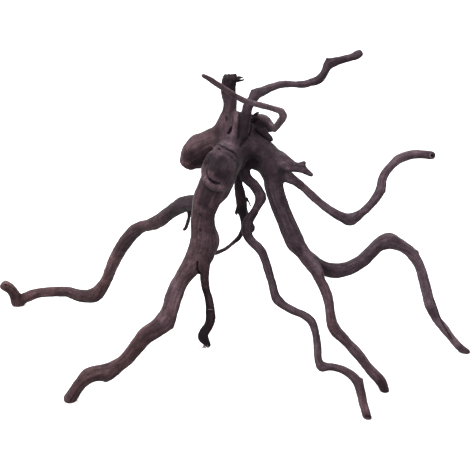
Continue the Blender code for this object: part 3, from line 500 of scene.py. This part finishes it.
def smooth_route(points, step):
    """Points about a step apart on a centripetal Catmull-Rom curve through the route's points."""
    ends = [2 * points[0] - points[1], *points, 2 * points[-1] - points[-2]]
    found = []
    for p0, p1, p2, p3 in zip(ends, ends[1:], ends[2:], ends[3:]):
        spans = [np.linalg.norm((b - a)[:3]) ** CENTRIPETAL for a, b in ((p0, p1), (p1, p2), (p2, p3))]
        k1, k2, k3 = np.cumsum(spans)
        count = max(2, round(np.linalg.norm((p2 - p1)[:3]) / step))
        t = np.linspace(k1, k2, count, endpoint=False)[:, None]
        a1 = (k1 - t) / k1 * p0 + t / k1 * p1
        a2 = (k2 - t) / (k2 - k1) * p1 + (t - k1) / (k2 - k1) * p2
        a3 = (k3 - t) / (k3 - k2) * p2 + (t - k2) / (k3 - k2) * p3
        b1 = (k2 - t) / k2 * a1 + t / k2 * a2
        b2 = (k3 - t) / (k3 - k1) * a2 + (t - k1) / (k3 - k1) * a3
        found.append((k2 - t) / (k2 - k1) * b1 + (t - k1) / (k2 - k1) * b2)
    return np.vstack([*found, points[-1:]])


def frames(centres):
    """Directions (along, side, up) at each point of a path: side is the one before, turned as
    little as the bend allows."""
    along = np.gradient(centres, axis=0)
    along /= np.linalg.norm(along, axis=1)[:, None]
    side = np.cross(along[0], SEAM_HINT)
    sides = []
    for direction in along:
        side = side - direction * (side @ direction)
        side = side / np.linalg.norm(side)
        sides.append(side)
    sides = np.array(sides)
    return along, sides, np.cross(along, sides)


def domed(points):
    """The path with the rings that close its far end as a dome."""
    tip = points[-1]
    direction = tip[:3] - points[-2][:3]
    direction /= np.linalg.norm(direction)
    angles = np.radians(DOME_ANGLES)
    centres = tip[:3] + np.outer(DOME_HEIGHT * tip[3] * np.sin(angles), direction)
    return np.vstack([points, np.column_stack([centres, tip[3] * np.cos(angles)])])


def tube(points, sides, swell=None):
    """Vertices and faces of a closed tube on the grid (ring, corner).

    A vertex is centre + radius * (1 + swell) * (cos(angle) * side + sin(angle) * up), and both
    ends are fans round their centres. swell is an array (ring, corner), or none for a round tube.
    """
    centres, radius = points[:, :3], points[:, 3]
    _, side, up = frames(centres)
    angle = np.linspace(0, 2 * np.pi, sides, endpoint=False)
    reach = radius[:, None] * (1 if swell is None else 1 + swell)
    rings = centres[:, None] + reach[..., None] * (
        np.cos(angle)[None, :, None] * side[:, None] + np.sin(angle)[None, :, None] * up[:, None]
    )
    count = len(centres)
    vertices = np.vstack([rings.reshape(-1, 3), centres[:1], centres[-1:]])
    ring, corner = np.meshgrid(np.arange(count - 1), np.arange(sides), indexing="ij")
    here = (ring * sides + corner).ravel()
    beside = (ring * sides + (corner + 1) % sides).ravel()
    walls = np.column_stack([here, beside, beside + sides, here + sides])
    corner = np.arange(sides)
    after = (corner + 1) % sides
    last = (count - 1) * sides
    start = np.full(sides, count * sides)
    fans = np.vstack([
        np.column_stack([start, after, corner, corner]),
        np.column_stack([start + 1, last + corner, last + after, last + after]),
    ])
    return vertices, np.vstack([walls, fans])


def mesh_object(name, parts):
    """One object holding the (vertices, faces) parts. A face whose last two corners are the same
    is a triangle."""
    vertices, faces = [], []
    count = 0
    for corners, polygons in parts:
        vertices.append(corners)
        faces.append(polygons + count)
        count += len(corners)
    vertices = np.vstack(vertices) * MM
    faces = np.vstack(faces)
    quads = faces[faces[:, 2] != faces[:, 3]]
    triangles = faces[faces[:, 2] == faces[:, 3]][:, :3]
    mesh = bpy.data.meshes.new(name)
    mesh.from_pydata(vertices, [], quads.tolist() + triangles.tolist())
    mesh.shade_smooth()
    piece = bpy.data.objects.new(name, mesh)
    bpy.context.scene.collection.objects.link(piece)
    return piece


def read(mesh, what):
    """The mesh's vertex places, in millimetres, or its normals, as an array of rows."""
    values = np.empty(len(mesh.vertices) * 3)
    if what == "co":
        mesh.vertices.foreach_get("co", values)
        return values.reshape(-1, 3) / MM
    mesh.vertex_normals.foreach_get("vector", values)
    return values.reshape(-1, 3)


def edge_ends(mesh):
    """The two vertices of each edge of the mesh."""
    ends = np.empty(len(mesh.edges) * 2, int)
    mesh.edges.foreach_get("vertices", ends)
    return ends.reshape(-1, 2)


def write(mesh, places):
    """Move the mesh's vertices to these places in millimetres."""
    mesh.vertices.foreach_set("co", (places * MM).ravel())
    mesh.update()


def baked(piece):
    """The piece with its modifiers worked into its mesh."""
    graph = bpy.context.evaluated_depsgraph_get()
    mesh = bpy.data.meshes.new_from_object(piece.evaluated_get(graph))
    piece.modifiers.clear()
    old = piece.data
    piece.data = mesh
    bpy.data.meshes.remove(old)
    return piece


RANDOM = np.random.default_rng(SEED)
SHUFFLE = RANDOM.permutation(256)
GRADIENTS = RANDOM.normal(size=(256, 3))
GRADIENTS /= np.linalg.norm(GRADIENTS, axis=1)[:, None]
SEED_SHIFT = 17.3
NOISE_GAIN = 1.6


def noise(places, size, seed=0):
    """Gradient noise from about -1 to 1, one value a row: at each corner of the cell round the
    place, a fixed random slope times the offset from it, eased from corner to corner by
    6t^5 - 15t^4 + 10t^3. size is the cell's width, or its widths along each axis."""
    scaled = places / size + seed * SEED_SHIFT
    cell = np.floor(scaled).astype(int)
    offset = scaled - cell
    ease = offset ** 3 * (offset * (offset * 6 - 15) + 10)
    total = np.zeros(len(places))
    for corner in np.ndindex(2, 2, 2):
        x, y, z = ((cell + corner) % 256).T
        slope = GRADIENTS[SHUFFLE[(SHUFFLE[(SHUFFLE[x] + y) % 256] + z) % 256]]
        share = np.prod(np.where(corner, ease, 1 - ease), axis=1)
        total += share * ((offset - corner) * slope).sum(axis=1)
    return total * NOISE_GAIN


def grain(places, bars):
    """Each place in the straightened wood, and its share of one limb alone.

    The nearest bar is the one whose surface is nearest, or deepest under which the place lies.
    The first two numbers are the offsets from its heart along side and up, the third the distance
    along it. The share falls to 0 where a second bar's surface is as near.
    """
    best = np.full(len(places), np.inf)
    second = best.copy()
    straight = np.zeros((len(places), 3))
    square = (places ** 2).sum(axis=1)[:, None]
    for number, (centres, radius, side, up, length) in enumerate(bars):
        apart = square + (centres ** 2).sum(axis=1) - 2 * places @ centres.T
        nearest = apart.argmin(axis=1)
        gap = np.sqrt(np.maximum(apart[np.arange(len(places)), nearest], 0)) - radius[nearest]
        closer = gap < best
        second = np.where(closer, best, np.minimum(second, gap))
        best = np.where(closer, gap, best)
        row = nearest[closer]
        offset = places[closer] - centres[row]
        straight[closer] = np.column_stack([
            (offset * side[row]).sum(axis=1) + GRAIN_SHIFT[0] * number,
            (offset * up[row]).sum(axis=1),
            length[row] + GRAIN_SHIFT[1] * number,
        ])
    share = np.clip((second - best) / FORK_REACH, 0, 1)
    return straight, share * share * (3 - 2 * share)


def eased(places, edges, weight, rounds):
    """Places moved towards the mean of their neighbours, by half of weight each round."""
    one, other = edges.T
    count = np.maximum(np.bincount(edges.ravel(), minlength=len(places)), 1)
    for _ in range(rounds):
        mean = np.column_stack([
            np.bincount(one, places[other, axis], len(places))
            + np.bincount(other, places[one, axis], len(places))
            for axis in range(3)
        ]) / count[:, None]
        places = places + 0.5 * weight[:, None] * (mean - places)
    return places


def near(places, points):
    """How near each place is to the path of (x, y, z, radius): 1 on it, easing to 0 at its radius."""
    nearest = np.ones(len(places))
    for x, y, z, radius in points:
        box = np.abs(places - (x, y, z)).max(axis=1) < radius
        share = np.linalg.norm(places[box] - (x, y, z), axis=1) / radius
        nearest[box] = np.minimum(nearest[box], share)
    return (1 - nearest ** 2) ** 2


def patch(places, points, fill=PATCH_FILL):
    """Like near, times fill and never over 1, so that the middle of the patch is even."""
    return np.clip(fill * near(places, points), 0, 1)


def mouth(name, radius):
    """The very end of a limb, as a path of one point."""
    path = domed(smooth_route(standing(LIMBS[name]), ROUTE_STEP))
    return [(*path[-1, :3], radius)]


def on_skin(skin, marks):
    """The marks' (right, down, radius) as points on the skin: where the line of sight meets it."""
    eye = AIM - VIEW_DISTANCE * np.array((0, math.cos(VIEW_TILT), -math.sin(VIEW_TILT)))
    points = []
    for x, y, z, radius in smooth_route(standing([(r, d, 0, w) for r, d, w in marks]), MARK_STEP):
        sight = Vector((x, y, z)) - Vector(eye)
        hit, place, _, _ = skin.ray_cast(Vector(eye) * MM, sight.normalized())
        if hit:
            points.append((*(place / MM), radius))
    return points


def make_skin():
    """The whole root as one fine skin that carries its own grain.

    Every bar is a tube whose outline is 1 + 0.05 cos(2 angle + turn) + 0.03 cos(3 angle - turn) of
    its radius, with turn growing along it. The tubes are fused at VOXEL, eased where limbs meet,
    and moved along their normals by the relief of the wood.
    """
    parts, bars = [], []
    for number, (name, route) in enumerate(ROUTES.items()):
        path = smooth_route(standing(route), ROUTE_STEP)
        length = np.append(0, np.linalg.norm(np.diff(path[:, :3], axis=0), axis=1).cumsum())
        _, side, up = frames(path[:, :3])
        if name in LIMBS or name in BROAD_GROWTHS:
            bars.append((path[:, :3], path[:, 3], side, up, length))
        path = domed(path)
        length = np.append(length, np.full(len(DOME_ANGLES), length[-1]))
        angle = np.linspace(0, 2 * np.pi, BAR_SIDES, endpoint=False)[None]
        turn = length[:, None] / 38 + number * 2.1
        swell = 0.05 * np.cos(2 * angle + turn) + 0.03 * np.cos(3 * angle - turn * 1.3)
        parts.append(tube(path, BAR_SIDES, swell))
    skin = mesh_object("root_skin", parts)
    remesh = skin.modifiers.new("fused", "REMESH")
    remesh.mode = "VOXEL"
    remesh.voxel_size = VOXEL * MM
    baked(skin)
    mesh = skin.data
    edges = edge_ends(mesh)
    places = read(mesh, "co")
    _, share = grain(places, bars)
    places = eased(places, edges, np.ones(len(places)), EVEN_ROUNDS)
    places = eased(places, edges, 1 - share, FORK_ROUNDS)
    write(mesh, places)
    inwards = -read(mesh, "normal")
    for depth, _, _, route in HOLLOWS.values():
        press = near(places, smooth_route(standing(route), HOLLOW_STEP))
        places += inwards * (depth * press)[:, None]
    write(mesh, places)
    places = eased(places, edges, np.full(len(places), HOLLOW_EASE), HOLLOW_ROUNDS)
    write(mesh, places)
    straight, share = grain(places, bars)
    places = places + read(mesh, "normal") * relief(places, straight, share)[:, None]
    write(mesh, places)
    bpy.context.view_layer.update()
    shift = np.zeros(len(places))
    for depth, _, marks in CRACKS.values():
        shift -= depth * near(places, on_skin(skin, marks))
    for height, marks in RIMS.values():
        shift += height * near(places, on_skin(skin, marks))
    for name, (radius, depth) in OPEN_ENDS.items():
        shift -= depth * near(places, mouth(name, radius))
    for level, marks in ROUGH.values():
        shift += level * near(places, on_skin(skin, marks)) * noise(places, BARK_SIZE, 12)
    shift += ROT_HEIGHT * stub_rot(places) * noise(places, ROT_SIZE, 8)
    places = places + read(mesh, "normal") * shift[:, None]
    places[:, 2] = np.maximum(places[:, 2], 0)
    write(mesh, places)
    fewer = skin.modifiers.new("fewer_faces", "DECIMATE")
    fewer.ratio = min(1, SKIN_TRIANGLES / (2 * len(mesh.polygons)))
    baked(skin)
    mesh = skin.data
    places = read(mesh, "co")
    straight, share = grain(places, bars)
    add_attribute(mesh, "straight_grain", "FLOAT_VECTOR", straight)
    add_attribute(mesh, "grain_share", "FLOAT", share)
    add_attribute(mesh, "dark", "FLOAT", darkness(skin, places))
    add_attribute(mesh, "rub_and_painted_light", "FLOAT", rub_and_painted_light(skin, mesh))
    add_attribute(mesh, "warmth", "FLOAT", warmth(places))
    mesh.shade_smooth()
    return skin


def relief(places, straight, share):
    """Height of the wood's own surface: broad lumps, pocks, flutes that run far along the grain and
    fine wrinkles. A flute is the sharp side of 1 - |noise|, turned inwards, 5 mm wide and 45 mm
    long. A wrinkle is 1.9 mm wide and 11 mm long."""
    lumps = 0.5 * noise(places, 19.0, 1) + 0.3 * noise(places, 7.0, 4)
    depth = 0.35 + 0.35 * noise(places, 30.0, 6)
    flutes = -depth * np.clip(1 - 3.2 * np.abs(noise(straight, (5.0, 5.0, 45.0), 2)), 0, 1)
    wrinkles = 0.13 * noise(straight, (1.9, 1.9, 11.0), 3)
    pocks = 0.1 * noise(places, 2.6, 7)
    return lumps + pocks + share * (flutes + wrinkles)


def stub_rot(places):
    """How rotted each place on the broken stub is: 1 at its top, ending in a ragged edge."""
    top = standing(LIMBS["top_stub"][:1])[0, :3]
    below = top[2] - places[:, 2] + ROT_WANDER * noise(places, 5.0, 5)
    aside = np.linalg.norm(places[:, :2] - top[:2], axis=1)
    return np.clip((STUB_ROT - below) / ROT_FADE, 0, 1) * (aside < STUB_REACH)


def spans(places, table):
    """For each span in the table, its level and how surely each place lies on it."""
    for name, first, last, level in table:
        route = ROUTES[name][first:last]
        wide = smooth_route(standing(route), ROUTE_STEP) * (1, 1, 1, SPAN_REACH)
        yield level, patch(places, wide, SPAN_FILL)


def darkness(skin, places):
    """How dark each place is painted: near black where the stub rotted, painted shade in the hollows, cracks
    and mouths, on limbs that lie behind or under others and on undersides, and darker tips, spans and
    patches: 1 in the hollows and cracks.
    """
    dark = np.zeros(len(places))
    # Painted shade in the hollows
    for _, level, reach, route in HOLLOWS.values():
        wide = smooth_route(standing(route), HOLLOW_STEP) * (1, 1, 1, reach)
        dark = np.maximum(dark, level * patch(places, wide))
    bpy.context.view_layer.update()
    # Painted shade in the cracks and mouths, and painted shadow lines beside parts
    for _, level, marks in CRACKS.values():
        wide = [(x, y, z, radius * CRACK_REACH) for x, y, z, radius in on_skin(skin, marks)]
        dark = np.maximum(dark, level * near(places, wide))
    dark = np.maximum(dark, ROT_DARK * stub_rot(places))
    # Painted shade on limbs that lie behind or under others, and darker spans
    for level, share in spans(places, DARKENED_SPANS):
        dark = np.maximum(dark, level * share)
    # Painted shade on undersides, hidden sides and where limbs meet
    for level, marks in DARKENED_PATCHES.values():
        dark = np.maximum(dark, level * patch(places, on_skin(skin, marks)))
    # Painted shade inside the hollow end
    for name, (radius, _) in OPEN_ENDS.items():
        dark = np.maximum(dark, MOUTH_DARK * patch(places, mouth(name, radius), MOUTH_FILL))
    for name in DARK_TIPS:
        x, y, z, radius = standing(LIMBS[name][-1:])[0]
        dark = np.maximum(dark, TIP_DARK * near(places, [(x, y, z, radius * TIP_REACH)]))
    return dark


def rub_and_painted_light(skin, mesh):
    """How far each place stands out of the surface round it, eased over a few millimetres: 0.25 in a furrow,
    0.5 on even wood, 0.7 on a ridge and up to 1 on a paler patch. It scales the wood's colour, as painted
    shade in furrows and as painted highlight on ridges and on the paler spans and patches, together with the
    wood's own paler grain."""
    places = read(mesh, "co")
    level = eased(places, edge_ends(mesh), np.ones(len(places)), PROUD_ROUNDS)
    proud = ((places - level) * read(mesh, "normal")).sum(axis=1)
    proud = np.clip(proud / PROUD_DEPTH, -0.5, 0.4)
    # Painted highlight on lit tops and faces
    for level, marks in LIGHTENED_PATCHES.values():
        proud += level * patch(places, on_skin(skin, marks))
    # Painted highlight along the lit sides of some limbs
    for level, share in spans(places, LIGHTENED_SPANS):
        proud += level * share
    return np.clip(0.5 + proud / 2, 0, 1)


def warmth(places):
    """How brown the wood is: 1 low down on the left, 0 where it is violet, at the crown and on the
    right, with patches of both everywhere."""
    lean = np.maximum((WARM_HEIGHT - places[:, 2]) / WARM_FALL, WARM_LEAST) - places[:, 0] / WARM_ACROSS
    warm = 0.5 + 0.8 * lean + 0.5 * noise(places, 40.0, 9)
    for level, share in spans(places, VIOLET):
        warm = warm - level * share
    return np.clip(warm, 0, 1)


def add_attribute(mesh, name, kind, values):
    """Store one value or vector at each vertex of the mesh."""
    attribute = mesh.attributes.new(name, kind, "POINT")
    field = "vector" if kind == "FLOAT_VECTOR" else "value"
    attribute.data.foreach_set(field, np.ascontiguousarray(values, np.float32).ravel())


def linear(colour):
    """An sRGB hex colour as linear red, green, blue and alpha."""
    parts = np.array([int(colour[i:i + 2], 16) for i in (1, 3, 5)]) / 255
    parts = np.where(parts <= 0.04045, parts / 12.92, ((parts + 0.055) / 1.055) ** 2.4)
    return (*parts, 1.0)


def node(tree, kind, settings=None, **links):
    """Add a node, with its settings by name, and link or set its inputs by name."""
    made = tree.nodes.new("ShaderNode" + kind)
    for name, value in (settings or {}).items():
        setattr(made, name, value)
    for name, value in links.items():
        socket = made.inputs[int(name[1:])] if name[1:].isdigit() else made.inputs[name.replace("_", " ")]
        if isinstance(value, bpy.types.NodeSocket):
            tree.links.new(value, socket)
        else:
            socket.default_value = value
    return made


def ramp(tree, factor, stops):
    """A colour ramp with (position, colour) stops; a number stands for a grey, and three numbers
    for a linear colour."""
    made = node(tree, "ValToRGB", Fac=factor)
    elements = made.color_ramp.elements
    while len(elements) < len(stops):
        elements.new(0.5)
    for element, (position, colour) in zip(elements, stops):
        element.position = position
        element.color = linear(colour) if isinstance(colour, str) else (*np.broadcast_to(colour, 3), 1)
    return made.outputs[0]


def shaded(name, **values):
    """A new material, its node tree and its shader, with the shader's inputs set by name."""
    material = bpy.data.materials.new(name)
    material.use_nodes = True
    shader = material.node_tree.nodes["Principled BSDF"]
    for socket, value in values.items():
        shader.inputs[socket.replace("_", " ")].default_value = value
    return material, material.node_tree, shader


def bare_root_wood():
    """Azalea root, barked, washed and air-dried: a dull dark brown with a violet cast, paler along raised
    grain, red where it broke and near black where it rotted. Ridges, lit tops and the lit upper sides of
    some limbs are painted paler as painted highlight, and furrows, cracks, hollows, undersides and hidden
    limbs are painted in the same near black as painted shade. Its grain is combed in streaks 3.2 mm wide
    that run on for 40 mm, with fibres of 1.5 mm between them."""
    material, tree, shader = shaded(
        "bare_root_wood", IOR=1.46, Specular_IOR_Level=0.2, Sheen_Weight=0.28, Sheen_Roughness=0.35
    )
    number = {"data_type": "FLOAT"}
    colour = {"data_type": "RGBA"}
    times = {"data_type": "RGBA", "blend_type": "MULTIPLY"}
    straight = node(tree, "Attribute", {"attribute_name": "straight_grain"}).outputs["Vector"]
    share, dark, rub_and_light, where = (
        node(tree, "Attribute", {"attribute_name": name}).outputs["Fac"]
        for name in ("grain_share", "dark", "rub_and_painted_light", "warmth")
    )
    place = node(tree, "TexCoord").outputs["Object"]
    wide = node(tree, "Mapping", Vector=straight, Scale=(1 / 3.2, 1 / 3.2, 1 / 40)).outputs[0]
    fine = node(tree, "Mapping", Vector=straight, Scale=(1 / 1.5, 1 / 1.5, 1 / 22)).outputs[0]
    streaks, fibres, mottles, grit = (
        node(tree, "TexNoise", **values).outputs["Fac"] for values in (
            dict(Vector=wide, Scale=1.0, Detail=3.0, Roughness=0.6, Distortion=0.4),
            dict(Vector=fine, Scale=1.0, Detail=2.0, Roughness=0.55),
            dict(Vector=place, Scale=110.0, Detail=4.0, Roughness=0.65),
            dict(Vector=place, Scale=430.0, Detail=3.0, Roughness=0.7),
        )
    )
    combed = node(tree, "Mix", number, _0=0.45, _2=streaks, _3=fibres).outputs[0]
    even = node(tree, "Mix", number, _0=share, _2=0.5, _3=combed).outputs[0]
    tone = node(tree, "Mix", number, _0=0.4, _2=even, _3=mottles).outputs[0]
    brown = ramp(tree, tone, [(0.32, BROWN_DARK), (0.5, BROWN_MIDDLE), (0.68, BROWN_LIGHT)])
    violet = ramp(tree, tone, [(0.32, VIOLET_DARK), (0.5, VIOLET_MIDDLE), (0.68, VIOLET_LIGHT)])
    wood = node(tree, "Mix", colour, _0=where, _6=violet, _7=brown).outputs[2]
    # Painted shade in furrows and painted highlight on ridges and paler patches, with the wood's paler
    # grain: the colour is scaled by how proud each place is
    rub_and_light_gain = ramp(tree, rub_and_light, [
        (0.35, 0.55), (0.5, 1.0), (0.7, (1.7, 1.72, 1.69)), (1.0, (3.15, 3.34, 3.05)),
    ])
    wood = node(tree, "Mix", times, _0=1.0, _6=wood, _7=rub_and_light_gain).outputs[2]
    speck = ramp(tree, grit, [(0.34, 0.55), (0.5, 0.95), (0.66, 1.35)])
    wood = node(tree, "Mix", times, _0=0.55, _6=wood, _7=speck).outputs[2]
    # Rot and painted shade: the dark attribute turns the wood towards near black
    wood = node(tree, "Mix", colour, _0=dark, _6=wood, _7=linear(ROT_AND_SHADE)).outputs[2]
    tree.links.new(wood, shader.inputs["Base Color"])
    tree.links.new(ramp(tree, fibres, [(0.3, 0.75), (0.7, 0.6)]), shader.inputs["Roughness"])
    low = node(tree, "Bump", Strength=0.5, Distance=0.0004, Height=fibres).outputs[0]
    high = node(tree, "Bump", Strength=0.5, Distance=0.0004, Height=grit, Normal=low).outputs[0]
    tree.links.new(high, shader.inputs["Normal"])
    return material


def patched(made, scale, stops):
    """Colour a new material in patches: noise of this scale through a ramp of these stops."""
    material, tree, shader = made
    place = node(tree, "TexCoord").outputs["Object"]
    patches = node(tree, "TexNoise", Vector=place, Scale=scale, Detail=3.0).outputs["Fac"]
    tree.links.new(ramp(tree, patches, stops), shader.inputs["Base Color"])
    return material


def torn_wood():
    """Fibres torn out of a broken end and dried hard: darker than the skin and quite dull."""
    made = shaded("torn_wood", Roughness=0.8, IOR=1.46, Specular_IOR_Level=0.2)
    return patched(made, 300.0, [(0.3, "#1B1419"), (0.6, "#33262B"), (0.8, "#4A393C")])


def dry_rim():
    """Dead inner bark at a broken end: dry, pale grey-brown and dull."""
    made = shaded("dry_rim", Roughness=0.8, IOR=1.46)
    return patched(made, 400.0, [(0.35, "#5A4A52"), (0.65, "#8A7A80")])


def white_lint():
    """Cotton lint caught on a rough tip: dusty, pale grey and fully dull."""
    return shaded("white_lint", Base_Color=linear(LINT), Roughness=0.9)[0]


def torn_fibres():
    """Tapered fibres: those that the view shows, and a ragged rim of spikes round the stub's
    broken top. Spikes wind out from its middle, 2.4 radians apart, at distances that grow with
    the root of their number. Each leans at random, tapers by 1 - 0.7 t^3 and ends 0.5 to 2.1 mm
    over the top."""
    parts = [tube(smooth_route(standing(route), FIBRE_STEP), 6) for route in FIBRES]
    heart = standing([LIMBS["top_stub"][0]])[0]
    random = np.random.default_rng(SEED + 1)
    for spike in range(CROWN_SPIKES):
        angle = spike * 2.4
        reach = heart[3] * math.sqrt((spike + 0.5) / CROWN_SPIKES) * 0.93
        foot = heart[:3] + (reach * math.cos(angle), reach * math.sin(angle), -SPIKE_ROOT)
        lean = random.normal(0, 0.22, 2)
        height = random.uniform(0.9, 2.5)
        thick = random.uniform(1.1, 2.1)
        steps = np.linspace(0, 1, 5)[:, None]
        centres = foot + steps * (lean[0] * height, lean[1] * height, SPIKE_ROOT + height - 0.4)
        radius = thick * (1 - steps ** 3 * 0.7)
        parts.append(tube(np.hstack([centres, radius]), 5))
    return mesh_object("torn_fibres", parts)


def broken_rim():
    """The thin rim of bark round the mouth at the end of the right limb: a ring that looks along
    RIM_FACING, its radius RIM_RADIUS (1 + 0.06 sin(3 turn)), with a round section of radius
    0.6 + 0.15 sin(2 turn + 1)."""
    centre = standing([RIM_PLACE])[0, :3]
    turn = np.linspace(0, 2 * np.pi, 40)
    reach = RIM_RADIUS * (1 + 0.06 * np.sin(3 * turn))
    facing = np.array(RIM_FACING) / np.linalg.norm(RIM_FACING)
    side = np.cross(facing, (0, 0, 1))
    side /= np.linalg.norm(side)
    up = np.cross(side, facing)
    centres = centre + reach[:, None] * (
        np.cos(turn)[:, None] * side + np.sin(turn)[:, None] * up
    )
    thick = 0.6 + 0.15 * np.sin(2 * turn + 1)
    return mesh_object("broken_rim", [tube(np.column_stack([centres, thick]), 8)])


def lint():
    """Short curled threads on the tip of the short leg: each runs straight from where it is held and
    goes on as a helix that drifts sideways and down."""
    random = np.random.default_rng(SEED + 2)
    tip, hold = standing([THREADS_END, THREADS_HOLD])[:, :3]
    parts = []
    for _ in range(LINT_THREADS):
        start = tip + random.normal(0, (1.7, 0.6, 1.1))
        t = np.linspace(0, 1, 14)
        turn = random.uniform(2, 6)
        phase = random.uniform(0, 6.28)
        centres = start + np.column_stack([
            random.normal(0, 2.2) * t + 0.7 * np.cos(turn * t + phase),
            0.6 * np.sin(turn * t),
            -random.uniform(0.5, 3.0) * t + 0.5 * np.sin(turn * t + phase),
        ])
        centres = np.vstack([np.linspace(hold, centres[0], 6)[:-1], centres])
        parts.append(tube(np.column_stack([centres, np.full(len(centres), LINT_RADIUS)]), 4))
    parts.append(tube(smooth_route(standing(STRAY_THREAD), FIBRE_STEP), 4))
    return mesh_object("lint_threads", parts)


def dress(piece, material):
    """Give a finished piece its material and body, and hide the CAD part that it stands for."""
    piece.data.materials.clear()
    piece.data.materials.append(material)
    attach(piece, "root")
    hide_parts(NODE)


def studio():
    """A floor of matt white paper, faint light from all round, a wide soft lamp overhead, a little
    to the front and left, and a weaker one behind. The floor glows a little, to show white, and
    sends no light to the root, as a sheet far below it would not."""
    world = bpy.data.worlds.new("white_studio")
    world.use_nodes = True
    bpy.context.scene.world = world
    world.node_tree.nodes["Background"].inputs["Color"].default_value = (1, 1, 1, 1)
    world.node_tree.nodes["Background"].inputs["Strength"].default_value = SKY_LIGHT
    corners = FLOOR_REACH * np.array([(-1, -1, 0), (1, -1, 0), (1, 1, 0), (-1, 1, 0)])
    floor = mesh_object("floor", [(corners, np.array([(0, 1, 2, 3)]))])
    white, _, _ = shaded(
        "white_paper", Base_Color=linear(FLOOR_WHITE), Roughness=1.0,
        Emission_Color=linear(FLOOR_WHITE), Emission_Strength=FLOOR_GLOW,
    )
    floor.data.materials.append(white)
    floor.visible_diffuse = False
    floor.visible_glossy = False
    for name, power, spread, towards in LAMPS:
        lamp = bpy.data.lights.new(name, "SUN")
        lamp.energy = power
        lamp.angle = math.radians(spread)
        holder = bpy.data.objects.new(name, lamp)
        bpy.context.scene.collection.objects.link(holder)
        holder.rotation_euler = Vector(towards).to_track_quat("-Z", "Y").to_euler()


def camera():
    """The view that the routes are measured in."""
    lens = bpy.data.cameras.new("view")
    lens.sensor_width = SENSOR
    lens.lens = SENSOR * VIEW_DISTANCE / VIEW_SIDE
    lens.clip_end = 100
    holder = bpy.data.objects.new("view", lens)
    bpy.context.scene.collection.objects.link(holder)
    away = np.array((0, -math.cos(VIEW_TILT), math.sin(VIEW_TILT)))
    holder.location = (AIM + VIEW_DISTANCE * away) * MM
    holder.rotation_euler = (math.pi / 2 - VIEW_TILT, 0, 0)
    bpy.context.scene.camera = holder


bpy.context.scene.view_settings.view_transform = "Standard"
camera()
studio()
wood = bare_root_wood()
dress(make_skin(), wood)
dress(torn_fibres(), torn_wood())
dress(broken_rim(), dry_rim())
dress(lint(), white_lint())
